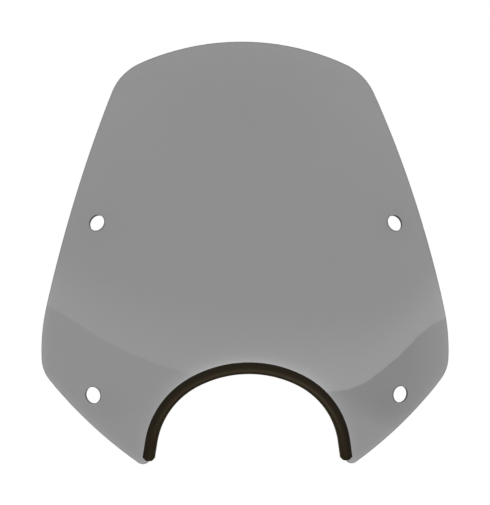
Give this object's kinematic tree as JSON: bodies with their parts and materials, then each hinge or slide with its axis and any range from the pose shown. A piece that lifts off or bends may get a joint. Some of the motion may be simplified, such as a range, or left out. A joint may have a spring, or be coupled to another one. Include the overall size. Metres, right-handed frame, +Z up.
{
  "type": "motorcycle windshield",
  "caption": "Smoke-tinted motorcycle windshield bowed both ways, with bracket holes and an arched headlamp cut-out edged by a rubber trim.",
  "frame": {"origin": "centre of the four bracket holes, at the middle of the sheet's wall", "axes": "+Z up, +Y towards the rider, +X to the right of the picture, seen from the front"},
  "size_m": [0.4216, 0.1562, 0.4412],
  "materials": {
    "tinted_sheet": "gloss, clear with a smoke tint",
    "trim_rubber": "satin"
  },
  "bodies": {
    "root": {"screen": "tinted_sheet", "arch_trim": "trim_rubber"}
  },
  "joints": []
}
